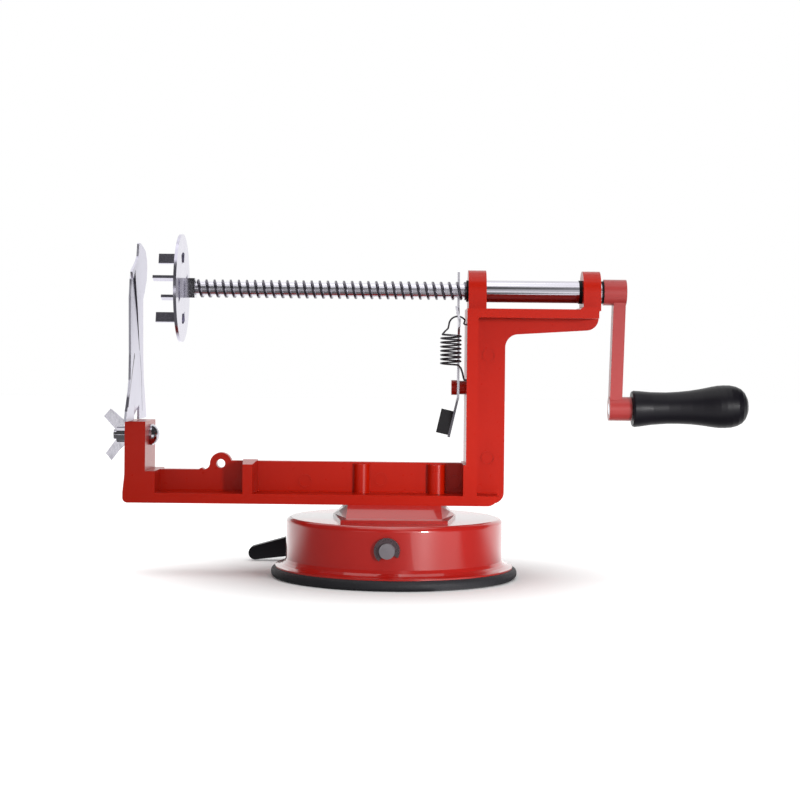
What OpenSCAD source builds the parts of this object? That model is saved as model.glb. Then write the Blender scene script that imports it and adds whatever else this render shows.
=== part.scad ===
// Hand cranked tornado potato cutter.
// Millimetres. Origin at the middle of the foot's underside. +X runs along the feed screw
// towards the crank, +Y away from the viewer, +Z up.

/* [Frame casting] */
// height of the feed screw axis above the table
axis_z = 116.4; // [112:0.1:120]
// full depth of the flanges, front to back
casting_depth = 28; // [24:0.5:32]
// front face of the thin web
web_front_y = 0.2; // [0:0.1:1]
// thickness of the web
web_t = 4.5; // [4:0.1:6]
// left face and width of the blade post
post_left_x = -108.2; // [-109:0.1:-108]
post_w = 8.25; // [8:0.05:8.7]
// top of the blade post
post_top_z = 62.3; // [62:0.1:62.5]
// outward flare, its lower and upper ends, and the rounding at the post's foot
post_flare = 0.7; // [0.2:0.1:1.2]
post_flare_low_z = 34; // [33:0.5:35]
post_flare_top_z = 41; // [38:0.5:43]
post_foot_r = 2; // [1:0.5:3]
// underside of the beam
beam_bottom_z = 29.8; // [29.2:0.1:30.4]
// thickness of the beam's bottom flange
beam_flange_t = 4; // [3:0.1:5]
// how far that flange ends short of the upright's right edge
beam_flange_short = 3; // [1:0.1:4]
// top of the beam to the right and to the left of the rib
beam_top_z = 46.2; // [45.6:0.1:47]
step_top_z = 42.5; // [42:0.1:43]
// rib across the beam: its faces at the web, draft of each side and of its top towards the flange's edge
rib_left_x = -62; // [-62.5:0.1:-61]
rib_right_x = -55.9; // [-56.5:0.1:-54]
rib_top_z = 46.9; // [46.6:0.1:47.6]
rib_side_draft = 1.1; // [0.3:0.1:1.4]
rib_top_draft = 1.3; // [0.3:0.1:1.5]
// width of the thick foot beside the post
post_root_w = 3.95; // [3:0.05:5]
// left face of the upright, its flange and its right edge
upright_left_x = 28.45; // [28.2:0.05:28.7]
upright_flange_t = 4.45; // [4:0.05:5]
upright_right_x = 44.6; // [43:0.1:45]
// top of the arm, thickness of its flange, how far that ends short of the tip, and the arm's depth
// at the root and at the tip
arm_top_z = 109; // [108.5:0.1:109.5]
arm_flange_t = 3.6; // [3:0.1:4.2]
arm_flange_short = 1.4; // [0.5:0.1:2]
arm_root_depth = 10; // [9.5:0.1:10.5]
arm_tip_depth = 8.2; // [7.8:0.1:8.7]
// roundings of the outline
corner_r = 4.5; // [3:0.5:6]
arm_corner_r = 5; // [4:0.5:6]
inner_fillet_r = 5.4; // [4:0.2:7]
// bearing lugs: radius about the axis, and their faces
lug_r = 8.5; // [8:0.1:9]
lug_one_left_x = 29.1; // [28.9:0.1:29.4]
lug_one_right_x = 36.35; // [36:0.05:37]
lug_two_left_x = 75.5; // [75:0.1:76]
lug_two_right_x = 82.6; // [82.3:0.1:82.9]
// hanging ear on the beam
ear_x = -71.1; // [-73:0.1:-70]
ear_z = 45; // [44.6:0.1:45.6]
ear_hole_r = 1.8; // [1.5:0.1:2.1]
ear_r = 4.45; // [4:0.05:5]
// fillet between the ear and the beam's lower top
ear_fillet_r = 2.6; // [2:0.1:3]
// small casting bump left of the ear
bump_x = -79; // [-81:0.5:-78]
bump_r = 1.1; // [0.8:0.1:1.4]
bump_sink = 0.5; // [0.2:0.1:0.6]
// screw bosses under the beam's top
boss_left_x = -13.4; // [-14:0.1:-13]
boss_left_r = 3.25; // [3:0.05:3.6]
boss_right_x = 17; // [16.5:0.1:17.5]
boss_right_r = 3.65; // [3.3:0.05:4]
boss_top_z = 45.5; // [45:0.1:46]
// ejector marks on the web: outer and inner radius and height
mark_r = 2.7; // [2:0.1:3]
mark_hole_r = 2.3; // [1.6:0.1:2.4]
mark_h = 0.25; // [0.15:0.05:0.4]
// sites of the marks
mark_sites = [[-36.6, 38.3], [-5.7, 39.2], [24.1, 38.4], [37.9, 48.4], [37.9, 90.2]];

/* [Guide tube and bushes] */
// outside of the tube
tube_r = 4.5; // [4.4:0.05:4.55]
// bore of the tube over the shaft radius
shaft_clearance = 0.08; // [0.05:0.01:0.1]
// interference of pressed pieces
press = 0.03; // [0.01:0.01:0.05]
// bushes on the two ends of the tube
front_bush_r = 4.4; // [4.3:0.05:4.5]
rear_bush_r = 4.75; // [4.65:0.05:5]
front_bush_w = 0.7; // [0.5:0.1:1]
rear_bush_w = 1.3; // [1:0.1:2]

/* [Feed screw] */
// crest and core radius of the thread and radius of the plain shaft
crest_r = 3.74; // [3.6:0.01:3.75]
core_r = 2.8; // [2.6:0.05:3]
shaft_r = 3.76; // [3.75:0.01:3.78]
// advance in one turn
pitch = 3.3; // [3:0.1:3.6]
// width of the thread at its crest and at its base
crest_w = 0.65; // [0.5:0.05:0.9]
base_w = 1.35; // [1.1:0.05:1.6]
// first and last station of the thread
thread_left_x = -84.4; // [-85:0.1:-84]
thread_right_x = 31; // [30.5:0.1:32]
// steps round one turn
thread_steps = 20; // [16:1:24]
// X of the thread groove behind the screw, where the lever's tooth sits
groove_x = 25.45; // [25.4:0.05:25.5]
// spigot that carries the disc
spigot_r = 2.4; // [2:0.1:2.6]
spigot_end = 0.9; // [0.5:0.1:1.2]

/* [Fork disc] */
// right face, thickness and radius of the disc
disc_right_x = -87.2; // [-87.5:0.1:-87]
disc_t = 1.2; // [1:0.1:1.5]
disc_r = 22; // [20:0.5:23]
// inner and outer radius of the prongs and their windows
prong_in_r = 10.5; // [9:0.1:11]
prong_out_r = 14.6; // [14:0.1:16]
// thickness and reach of a prong
prong_t = 1.2; // [1:0.1:1.5]
prong_reach = 9.3; // [8:0.1:10]
// turn of the four prongs as photographed
prong_turn = 74.2; // [60:0.1:90]
// angle of the window that each prong leaves
window_angle = 42; // [36:1:46]
// width across flats and left end of the lock nut
nut_flats = 8; // [7:0.1:8.5]
nut_right_x = -82; // [-82.5:0.1:-81.5]

/* [Crank] */
// left and right faces of the hub
hub_left_x = 84.3; // [84.1:0.1:84.6]
hub_right_x = 93.5; // [93:0.1:94]
hub_r = 5.3; // [5.1:0.05:5.5]
// thickness and depth of the arm, and how far its lower end leans to the left
crank_t = 5; // [4.5:0.1:5.5]
crank_w = 6.4; // [6:0.1:9]
crank_lean = 1.6; // [1:0.1:2]
// crank radius
crank_throw = 47.4; // [45:0.1:50]
// boss at the lower end
crank_boss_r = 4.9; // [4.7:0.05:5]
crank_boss_left_x = 87; // [86.4:0.1:87.2]
crank_boss_right_x = 96.1; // [95.6:0.1:96.2]
// washer between the lug and the hub
washer_r = 4.6; // [4.4:0.1:4.9]
washer_t = 0.7; // [0.6:0.1:1.2]

/* [Grip] */
// left face of the grip
grip_left_x = 96.5; // [96.4:0.1:96.8]
// upward tilt of the grip's axis
grip_tilt = 2; // [0:0.5:3]
// length and largest radius of the grip
grip_l = 47.4; // [45:0.1:50]
grip_r = 8.75; // [8.3:0.05:9]
// stations along the grip as shares of its length, each with its share of the largest radius
grip_shares = [[0, 0.81], [0.017, 0.85], [0.063, 0.83], [0.167, 0.765], [0.3, 0.735], [0.4, 0.75],
    [0.5, 0.79], [0.595, 0.857], [0.69, 0.949], [0.74, 0.989], [0.793, 1], [0.845, 0.989], [0.898, 0.926],
    [0.94, 0.811], [0.97, 0.64], [0.992, 0.389], [1, 0.137]];
// spindle inside the grip
spindle_r = 2.5; // [2:0.1:2.8]
spindle_reach = 36; // [30:1:40]
spindle_head_r = 3.2; // [2.9:0.1:3.4]
spindle_head_l = 3; // [2:0.5:4]
// radial and end clearance round the spindle
spindle_clearance = 0.08; // [0.05:0.01:0.1]
spindle_end_clearance = 0.5; // [0.3:0.1:1]

/* [Blade plate] */
// left face, thickness, foot height, half width at the foot and height of the plate
blade_left_x = -106.5; // [-106.8:0.1:-106]
blade_t = 0.9; // [0.8:0.1:1.1]
blade_foot_z = 62.6; // [62.5:0.1:62.9]
blade_half_w = 27; // [25:0.5:29]
blade_h = 72.3; // [70:0.1:75]
// outline from the front foot over the gable to the rear foot: shares of the half width and of the height
blade_shares = [[-1, 0], [-0.815, 0.13], [-0.66, 0.227], [-0.59, 0.365], [-0.563, 0.49], [-0.548, 0.573],
    [-0.519, 0.683], [-0.444, 0.752], [-0.419, 0.788], [-0.504, 0.806], [-0.548, 0.823], [-0.511, 0.834],
    [-0.156, 0.885], [0.019, 0.923], [0.059, 0.967], [0.074, 0.993], [0.111, 1], [0.222, 1],
    [0.504, 0.986], [0.741, 0.965], [0.874, 0.917], [0.904, 0.873], [0.874, 0.805], [0.667, 0.728],
    [0.526, 0.686], [0.548, 0.573], [0.563, 0.49], [0.59, 0.365], [0.66, 0.227], [0.815, 0.13], [1, 0]];
// first and last outline point of the leaf's free front edge
leaf_first = 1; // [1:1:2]
leaf_last = 8; // [8:1:8]
// slit beside the leaf, from its top to the neck, and the cut below it, from the neck to the front edge
slit_shares = [[-0.289, 0.834], [-0.022, 0.627], [0.204, 0.393]];
undercut_shares = [[-0.27, 0.361], [-0.904, 0.068]];
// width of the slit
slit_w = 0.3; // [0.2:0.1:0.6]
// bend of the leaf about its neck, and how far the neck runs into the plate
leaf_bend = 1.5; // [0.5:0.1:3]
leaf_lap = 1.6; // [1.2:0.1:2]
// scored line from below the slit's end down the plate
score_shares = [[0.241, 0.376], [0.274, 0.361], [0.422, 0.252], [0.493, 0.14], [0.552, 0.047]];
score_w = 0.5; // [0.3:0.1:0.8]
score_depth = 0.12; // [0.08:0.02:0.2]
// tongue: width, top of its relief slits, their width, its foot and the end of its slant
tongue_w = 11.3; // [10:0.1:12]
tongue_root_z = 68.3; // [67:0.1:69]
tongue_slit_w = 0.9; // [0.6:0.1:1.2]
tongue_bottom_z = 49; // [48:0.5:50]
tongue_bend_z = 62.6; // [62.5:0.1:63]

/* [Blade bolt and wing nut] */
// height of the bolt axis
bolt_z = 56.5; // [56:0.1:57]
// shank radius and left end
bolt_r = 2; // [1.9:0.1:2.2]
bolt_end_x = -114.7; // [-115:0.1:-114]
// radius and height of the domed head
bolt_head_r = 4.3; // [4:0.1:4.6]
bolt_head_h = 2.7; // [2:0.1:3]
// washer under the head
blade_washer_t = 1.05; // [0.8:0.05:1.2]
// play of the shank in the post, and of the wing nut on it
bolt_play = 0.1; // [0.1:0.05:0.2]
thread_play = 0.05; // [0.03:0.01:0.08]
// hub and wing thickness of the wing nut
wing_hub_r = 3.25; // [3:0.05:3.5]
wing_hub_l = 4.3; // [4:0.1:5]
wing_t = 2; // [1.6:0.1:2.4]
// corners of the wings in X and Z
upper_wing = [[-118.8, 63.9], [-116.1, 67], [-110.1, 62], [-111.2, 57.6], [-113.1, 57.6]];
lower_wing = [[-117.9, 48.8], [-115.5, 45.9], [-112.4, 50], [-110.3, 52], [-110.8, 55.4], [-113.1, 55.4]];

/* [Release lever] */
// height of the stud that the lever turns on
stud_z = 77; // [76.5:0.1:77.5]
// collar, neck and head of the stud, and its shank in the frame
collar_r = 2.8; // [2.6:0.1:3]
neck_r = 2; // [1.8:0.1:2.2]
neck_left_x = 24.9; // [24.8:0.05:24.95]
collar_left_x = 26; // [25.95:0.05:26.1]
stud_head_r = 3.05; // [2.8:0.05:3.3]
stud_head_h = 2.2; // [1.8:0.1:2.5]
stud_shank_r = 1.5; // [1.3:0.1:1.8]
stud_shank_l = 3.5; // [3:0.1:4]
// left face and thickness of the lever plate
lever_left_x = 25; // [24.95:0.05:25.05]
lever_t = 0.9; // [0.8:0.05:1]
// play of the plate on the neck
lever_play = 0.06; // [0.05:0.01:0.1]
// top of the bar that carries the horns
bar_top_z = 104.9; // [104:0.1:105.5]
// outline of the upright plate in Y and Z
lever_outline = [[-2.5, 74], [4, 74], [5.2, 96], [8.4, 108], [8.4, 123.4], [7, 125.8], [5.2, 125.8],
    [4.3, 124.4], [4.3, 117.6], [3.1, 117.2], [3.1, 115.6], [4.3, 115.2], [4.3, 109.8], [1.6, 105.4],
    [-4.6, bar_top_z], [-11.4, bar_top_z], [-11.6, 103.6], [-10.6, 101.6], [-4.4, 100.8], [-2.5, 98.6]];
// horns that guard the spring's loop: front face, width and top of each, and their lean to the left
horns = [[-6.3, 1.4, 107.6], [-11.2, 1.5, 109.9]];
horn_lean = 15; // [10:1:18]
// height of the bend and tilt of the lower part
lever_bend_z = 73; // [72:0.5:73.5]
lever_lean = 12.8; // [10:0.1:14]
// length and depth of the lower part
lower_l = 16.6; // [15:0.1:18]
lower_front_y = -2.5; // [-3:0.1:-2]
lower_back_y = 3; // [2:0.1:4]
// thumb tab: reach, its top and foot below the bend, and its front face
tab_reach = 4.7; // [4:0.1:5.5]
tab_top = 7.2; // [6:0.1:8]
tab_foot = 14.6; // [13:0.1:16]
// black cover round the tab: wall and outer height
cover_wall = 0.8; // [0.6:0.1:1.2]
cover_clearance = 0.05; // [0.02:0.01:0.1]
cover_top = 5.9; // [5:0.1:6.5]
cover_foot = 15.8; // [15:0.1:16.4]

/* [Release spring] */
// wire and coil radius
wire_r = 0.4; // [0.35:0.05:0.45]
coil_r = 4; // [3.6:0.1:4.2]
// coil axis and its ends
coil_x = 22.1; // [21.8:0.1:22.4]
coil_y = -8; // [-8.4:0.1:-7.6]
coil_bottom_z = 85.2; // [85:0.1:86]
coil_top_z = 98.6; // [98:0.1:99]
coil_turns = 8; // [7:1:9]
// top loop
loop_x = 24.8; // [24.6:0.1:25]
loop_z = 102.3; // [102:0.1:102.6]
loop_r = 3.55; // [3.4:0.05:3.7]
// where the loop starts above the right, and how far it sweeps
loop_start = 35; // [33:1:40]
loop_sweep = 145; // [140:1:148]
// height at which the loop's end meets the upright
loop_end_z = 102.6; // [102.4:0.1:102.8]
// way from the loop down to the first turn
neck_points = [[20.9, -8, 100.9], [19.6, -8.3, 99.7]];
// way of the tail from the last turn, and the depth and height at which it meets the upright
tail_points = [[26.15, -9.6, 85], [26.9, -8.9, 82.9], [27.35, -8.6, 81]];
tail_y = -8.5; // [-8.7:0.1:-8.3]
tail_z = 80.2; // [80:0.1:80.4]

/* [Suction base] */
// rubber foot ring: radius, height, rounding and width
foot_r = 50; // [48:0.5:52]
foot_h = 4; // [3.8:0.1:5]
foot_edge_r = 1.8; // [1:0.1:1.85]
foot_w = 8.4; // [8:0.1:9]
// housing: radius, reach and heights of its skirt, top and wall
housing_r = 44; // [43:0.5:45]
skirt_reach = 4.3; // [3:0.1:5]
skirt_lip = 0.6; // [0.5:0.1:1]
skirt_flare = 2.8; // [2:0.1:4]
housing_top_z = 24; // [23.5:0.1:24.5]
housing_edge_r = 2; // [1:0.1:3]
housing_wall = 2.4; // [2:0.1:3]
// hexagonal plinth: half lengths and top
plinth_tip_x = 25; // [24:0.5:26]
plinth_side_x = 21; // [20:0.5:22]
plinth_y = 30; // [28:0.5:31]
plinth_top_z = 25.2; // [25:0.1:25.5]
// tapered hexagonal pad: half length to its tips, and half sizes of its front corners, at foot and top
pad_foot_tip_x = 24.8; // [24:0.1:25]
pad_foot_corner_x = 19; // [18:0.1:20]
pad_foot_corner_y = 22; // [20:0.5:24]
pad_top_tip_x = 20; // [19.5:0.1:21]
pad_top_corner_x = 18.6; // [18:0.1:19]
pad_top_corner_y = 14; // [13:0.5:16]
// screws that hold the frame: shank, head and length
screw_r = 2; // [1.9:0.1:2.1]
screw_head_r = 3.2; // [3:0.1:3.5]
screw_head_h = 2.6; // [2.2:0.1:3]
screw_top_z = 41; // [40:0.5:43]
screw_play = 0.2; // [0.1:0.05:0.3]
screw_bite = 0.3; // [0.2:0.05:0.35]
screw_seat_z = 21.6; // [21.6:0.1:22]
// driver recess in the heads
socket_r = 1.5; // [1.2:0.1:1.8]
socket_depth = 1.4; // [1:0.1:1.6]

/* [Suction lever and axle] */
// axle
axle_x = -2.6; // [-3:0.1:-2]
axle_z = 15; // [14.5:0.1:15.5]
axle_r = 3; // [2.8:0.1:3.2]
// how far the axle stands out in front of the housing and behind the lever
axle_front_over = 3; // [2.5:0.1:3.5]
axle_rear_over = 1.4; // [1:0.1:2]
axle_play = 0.08; // [0.05:0.01:0.1]
// flats at the rear end, where the lever is fixed
axle_flat = 2.3; // [2:0.1:2.6]
// groove and clip at the front end
groove_depth = 0.7; // [0.5:0.1:0.9]
clip_r = 5; // [4.5:0.1:5.3]
clip_t = 0.8; // [0.7:0.05:0.9]
clip_gap = 0.4; // [0.3:0.05:0.5]
// opening angle of its mouth and the direction that it faces, from +X
clip_mouth = 95; // [80:5:110]
clip_turn = 280; // [260:5:300]
// eccentric
cam_offset = 1.5; // [1.2:0.1:1.6]
cam_r = 4.7; // [4.6:0.1:4.8]
cam_w = 7; // [6:0.5:8]
// lever hub, its gap to the housing, its thickness and slope
lever_hub_r = 7; // [6.5:0.1:7.5]
arm_gap = 2.4; // [2:0.1:3]
arm_t = 2.8; // [2.4:0.1:3]
suction_slope = 11.2; // [10.8:0.1:11.3]
suction_l = 60; // [58:0.5:60.5]
arm_root_h = 9; // [8:0.1:10]
arm_tip_h = 3.2; // [2.8:0.1:3.6]
// black grip: where it starts, its heights, its wall and how far it runs past the arm
grip_start = 40; // [36:0.5:42]
grip_root_h = 8.9; // [7.4:0.1:9]
grip_tip_h = 5.9; // [5.5:0.1:6.3]
sleeve_wall = 1.6; // [1.2:0.1:1.9]
sleeve_over = 1.9; // [1.6:0.1:2.2]
sleeve_clearance = 0.05; // [0.02:0.01:0.1]

/* [Suction stem and diaphragm] */
// stem block: half depth, foot and plate
stem_y = 4; // [3.6:0.1:4.2]
stem_left_x = -9.5; // [-9.7:0.1:-9.3]
stem_right_x = 6.4; // [6.2:0.1:6.6]
stem_top_z = 24.2; // [24:0.1:24.4]
stem_plate_r = 15; // [12:0.5:18]
stem_plate_low_z = 4.4; // [4.2:0.1:4.6]
stem_plate_t = 2; // [1.6:0.1:2.4]
// clearances of the eccentric in the window
cam_gap_z = 0.42; // [0.35:0.01:0.5]
cam_gap_x = 0.35; // [0.3:0.05:0.5]
// pocket over the stem
pocket_gap = 0.6; // [0.4:0.1:0.8]
pocket_top_z = 26; // [25.4:0.1:26.5]
// rubber diaphragm: thickness, heights of its middle and rim, and width of the rim
cup_t = 1.6; // [1.2:0.1:2]
cup_mid_z = 2.8; // [2.6:0.1:3]
cup_rim_z = 0.9; // [0.6:0.1:1.2]
cup_rim_w = 6; // [5:0.5:8]
/* [Hidden] */
$fn = 64;
// overrun of every cut
over = 1;
// lap of joined solids
lap = 0.4;

half_depth = casting_depth / 2;
post_right_x = post_left_x + post_w;
arm_root_z = arm_top_z - arm_root_depth;
arm_tip_z = arm_top_z - arm_tip_depth;
web_back_y = web_front_y + web_t;
arm_right_x = lug_two_right_x;
bore_r = shaft_r + shaft_clearance;
hole_r = tube_r - press;
disc_left_x = disc_right_x - disc_t;
crank_z = axis_z - crank_throw;
blade_right_x = blade_left_x + blade_t;
foot_inner_r = foot_r - foot_w;
skirt_r = housing_r + skirt_reach;
arm_front_y = housing_r + arm_gap;
arm_back_y = arm_front_y + arm_t;
sleeve_front_y = arm_front_y - sleeve_wall;
sleeve_back_y = arm_back_y + sleeve_wall;
axle_front_y = -housing_r - axle_front_over;
axle_rear_y = arm_back_y + axle_rear_over;
clip_back_y = -housing_r - clip_gap;
red = [0.78, 0.1, 0.08];
pink_red = [0.86, 0.2, 0.2];
steel = [0.75, 0.76, 0.78];
black = [0.06, 0.06, 0.07];

module slab_x(x0, x1) translate([x0, 0, 0]) rotate([90, 0, 90]) linear_extrude(x1 - x0) children();
module slab_y(y0, y1) translate([0, y1, 0]) rotate([90, 0, 0]) linear_extrude(y1 - y0) children();
module slab_z(z0, z1) translate([0, 0, z0]) linear_extrude(z1 - z0) children();
module rod_x(x0, x1, r, y, z) translate([x0, y, z]) rotate([0, 90, 0]) cylinder(r = r, h = x1 - x0);
module rod_y(y0, y1, r, x, z) translate([x, y1, z]) rotate([90, 0, 0]) cylinder(r = r, h = y1 - y0);
module rod_z(z0, z1, r, x, y) translate([x, y, z0]) cylinder(r = r, h = z1 - z0);
module area(x0, x1, z0, z1) translate([x0, z0]) square([x1 - x0, z1 - z0]);
module disc_2d(x, z, r) translate([x, z]) circle(r = r);
// a revolved outline given as [station, radius] pairs, turned to run along +X
module turned_x(points, x, z) translate([x, 0, z]) rotate([0, 90, 0]) rotate_extrude()
    polygon([for (p = points) [p[1], p[0]]]);

// outline of the whole casting seen from the front
module casting_outline() {
    area(post_right_x - lap, ear_x, beam_bottom_z, step_top_z);
    area(ear_x, upright_right_x - corner_r, beam_bottom_z, beam_top_z);
    area(upright_left_x, upright_right_x, beam_bottom_z + corner_r, arm_top_z);
    disc_2d(upright_right_x - corner_r, beam_bottom_z + corner_r, corner_r);
    polygon([[upright_left_x, arm_root_z], [upright_right_x + inner_fillet_r, arm_root_z],
        [arm_right_x - arm_corner_r, arm_tip_z], [arm_right_x - arm_corner_r, arm_tip_z + arm_corner_r],
        [arm_right_x, arm_tip_z + arm_corner_r], [arm_right_x, arm_top_z], [upright_left_x, arm_top_z]]);
    disc_2d(arm_right_x - arm_corner_r, arm_tip_z + arm_corner_r, arm_corner_r);
    difference() {
        area(upright_right_x - lap, upright_right_x + inner_fillet_r, arm_root_z - inner_fillet_r,
            arm_root_z + lap);
        disc_2d(upright_right_x + inner_fillet_r, arm_root_z - inner_fillet_r, inner_fillet_r);
    }
}

// bands of the outline that reach the full depth
module flange_bands() {
    flange_top_z = beam_bottom_z + beam_flange_t;
    flange_end_x = upright_right_x - beam_flange_short;
    area(post_right_x - lap, flange_end_x - corner_r, beam_bottom_z - over, flange_top_z);
    intersection() {
        disc_2d(flange_end_x - corner_r, beam_bottom_z + corner_r, corner_r);
        area(flange_end_x - corner_r - over, flange_end_x, beam_bottom_z - over, flange_top_z);
    }
    area(upright_left_x - over, upright_left_x + upright_flange_t, beam_bottom_z - over, arm_top_z + over);
    area(upright_left_x - over, arm_right_x - arm_flange_short, arm_top_z - arm_flange_t, arm_top_z + over);
}

// ear with a fillet down to the beam's lower top
ear_reach = ear_r + ear_fillet_r;
fillet_drop = step_top_z + ear_fillet_r - ear_z;
fillet_x = ear_x - sqrt(ear_reach * ear_reach - fillet_drop * fillet_drop);
module ear_outline() {
    disc_2d(ear_x, ear_z, ear_r);
    difference() {
        polygon([[fillet_x, step_top_z - lap], [fillet_x, step_top_z + ear_fillet_r], [ear_x, ear_z],
            [ear_x, step_top_z - lap]]);
        disc_2d(fillet_x, step_top_z + ear_fillet_r, ear_fillet_r);
    }
}

// one half of the rib, from the web to the edge of the flange; side is -1 for the front, 1 for the back
module rib_half(side) intersection() {
    mid_y = web_front_y;
    edge_y = side * half_depth;
    slab_z(beam_bottom_z, rib_top_z) polygon([[rib_left_x, mid_y], [rib_right_x, mid_y],
        [rib_right_x - rib_side_draft, edge_y], [rib_left_x + rib_side_draft, edge_y]]);
    slab_x(rib_left_x - over, rib_right_x + over) polygon([[mid_y, beam_bottom_z - over],
        [mid_y, rib_top_z], [edge_y, rib_top_z - rib_top_draft], [edge_y, beam_bottom_z - over]]);
}

module post_outline() {
    flare_x = post_left_x - post_flare;
    polygon([[post_left_x, post_top_z], [post_right_x, post_top_z], [post_right_x, beam_bottom_z],
        [flare_x + post_foot_r, beam_bottom_z], [flare_x + post_foot_r, beam_bottom_z + post_foot_r],
        [flare_x, beam_bottom_z + post_foot_r], [flare_x, post_flare_low_z],
        [post_left_x, post_flare_top_z]]);
    disc_2d(flare_x + post_foot_r, beam_bottom_z + post_foot_r, post_foot_r);
}

module lug(x0, x1) slab_x(x0, x1) {
    translate([0, axis_z]) circle(r = lug_r);
    translate([-lug_r, arm_top_z - lap]) square([2 * lug_r, axis_z - arm_top_z + lap]);
}

module frame_casting() color(red) difference() {
    union() {
        slab_y(web_front_y, web_back_y) {
            casting_outline();
            ear_outline();
            disc_2d(bump_x, step_top_z - bump_sink, bump_r);
        }
        slab_y(-half_depth, half_depth) intersection() {
            casting_outline();
            flange_bands();
        }
        slab_y(-half_depth, half_depth) {
            post_outline();
            area(post_right_x - lap, post_right_x + post_root_w, beam_bottom_z, step_top_z);
        }
        for (side = [-1, 1]) rib_half(side);
        lug(lug_one_left_x, lug_one_right_x);
        lug(lug_two_left_x, lug_two_right_x);
        rod_z(beam_bottom_z + lap, boss_top_z, boss_left_r, boss_left_x, 0);
        rod_z(beam_bottom_z + lap, boss_top_z, boss_right_r, boss_right_x, 0);
        slab_y(web_front_y - mark_h, web_front_y + lap) for (s = mark_sites) difference() {
            disc_2d(s[0], s[1], mark_r);
            disc_2d(s[0], s[1], mark_hole_r);
        }
    }
    rod_y(web_front_y - over, web_back_y + over, ear_hole_r, ear_x, ear_z);
    rod_x(lug_one_left_x - over, lug_one_right_x + over, hole_r, 0, axis_z);
    rod_x(lug_two_left_x - over, lug_two_right_x + over, hole_r, 0, axis_z);
    rod_x(post_left_x - over, post_right_x + over, bolt_r + bolt_play, 0, bolt_z);
    rod_x(upright_left_x - over, upright_left_x + stud_shank_l, stud_shank_r - press, 0, stud_z);
    for (x = [boss_left_x, boss_right_x])
        rod_z(beam_bottom_z - over, screw_top_z + lap, screw_r - screw_bite, x, 0);
}

module guide_tube() color(steel) difference() {
    rod_x(lug_one_left_x, lug_two_right_x, tube_r, 0, axis_z);
    rod_x(lug_one_left_x - over, lug_two_right_x + over, bore_r, 0, axis_z);
}

module front_bush() color(black) difference() {
    rod_x(lug_one_left_x - front_bush_w, lug_one_left_x, front_bush_r, 0, axis_z);
    rod_x(lug_one_left_x - front_bush_w - over, lug_one_left_x + over, bore_r, 0, axis_z);
}

module rear_bush() color(black) difference() {
    rod_x(lug_two_left_x - rear_bush_w, lug_two_left_x, rear_bush_r, 0, axis_z);
    rod_x(lug_two_left_x - rear_bush_w - over, lug_two_left_x + over, hole_r, 0, axis_z);
}

// thread: rows of four profile points to a pitch, carried round as a helical grid
half_crest = crest_w / 2;
half_base = base_w / 2;
profile = [[-half_base, core_r], [-half_crest, crest_r], [half_crest, crest_r], [half_base, core_r]];
turns = floor((thread_right_x - thread_left_x) / pitch);
rows = 4 * turns;
// crest of the thread at angle 0 (behind the screw) half a pitch from the groove
thread_zero_x = groove_x - pitch / 2 - pitch * ceil((groove_x - pitch / 2 - thread_left_x) / pitch - 1);
function thread_point(k, i) = let (p = profile[k % 4], a = 360 * i / thread_steps)
    [thread_zero_x + pitch * (floor(k / 4) + i / thread_steps) + p[0], p[1] * cos(a), p[1] * sin(a)];
function at(k, i) = i == thread_steps ? at(k + 4, 0) : k * thread_steps + i;
thread_points = concat([for (k = [0 : rows + 4]) for (i = [0 : thread_steps - 1]) thread_point(k, i)],
    [[thread_zero_x + half_base, 0, 0], [thread_zero_x + pitch * (turns + 0.5), 0, 0]]);
first_hub = len(thread_points) - 2;
thread_faces = concat(
    [for (k = [0 : rows - 1]) for (i = [0 : thread_steps - 1]) each
        [[at(k, i), at(k + 1, i), at(k + 1, i + 1)], [at(k, i), at(k + 1, i + 1), at(k, i + 1)]]],
    [for (i = [0 : thread_steps - 1]) [first_hub, at(0, i), at(0, i + 1)]],
    [for (k = [0 : 3]) [first_hub, at(k + 1, 0), at(k, 0)]],
    [for (i = [0 : thread_steps - 1]) [first_hub + 1, at(rows, i + 1), at(rows, i)]],
    [for (k = [0 : 3]) [first_hub + 1, at(rows + k, 0), at(rows + k + 1, 0)]]);

module feed_screw() color(steel) {
    translate([0, 0, axis_z]) polyhedron(points = thread_points, faces = thread_faces);
    rod_x(thread_right_x - pitch, hub_right_x, shaft_r, 0, axis_z);
    rod_x(disc_left_x - spigot_end, thread_left_x + 2 * pitch, spigot_r, 0, axis_z);
}

module fork_disc() color(steel) {
    difference() {
        rod_x(disc_left_x, disc_right_x, disc_r, 0, axis_z);
        rod_x(disc_left_x - over, disc_right_x + over, spigot_r, 0, axis_z);
        for (q = [0 : 3])
            translate([disc_left_x - over, 0, axis_z])
            rotate([prong_turn + 90 * q, 0, 0]) rotate([90, 0, 90]) rotate_extrude(angle = window_angle)
                translate([prong_in_r, 0]) square([prong_out_r - prong_in_r, disc_t + 2 * over]);
    }
    for (q = [0 : 3])
        translate([0, 0, axis_z]) rotate([prong_turn + 90 * q, 0, 0]) slab_z(-prong_t / 2, prong_t / 2)
        area(disc_left_x - prong_reach, disc_right_x, prong_in_r, prong_out_r);
}

module disc_nut() color(steel) difference() {
    slab_x(disc_right_x, nut_right_x) translate([0, axis_z]) square(nut_flats, center = true);
    rod_x(disc_right_x - over, nut_right_x + over, core_r, 0, axis_z);
}

module thrust_washer() color(black) difference() {
    rod_x(hub_left_x - washer_t, hub_left_x, washer_r, 0, axis_z);
    rod_x(lug_two_right_x - over, hub_left_x + over, bore_r, 0, axis_z);
}

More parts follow.
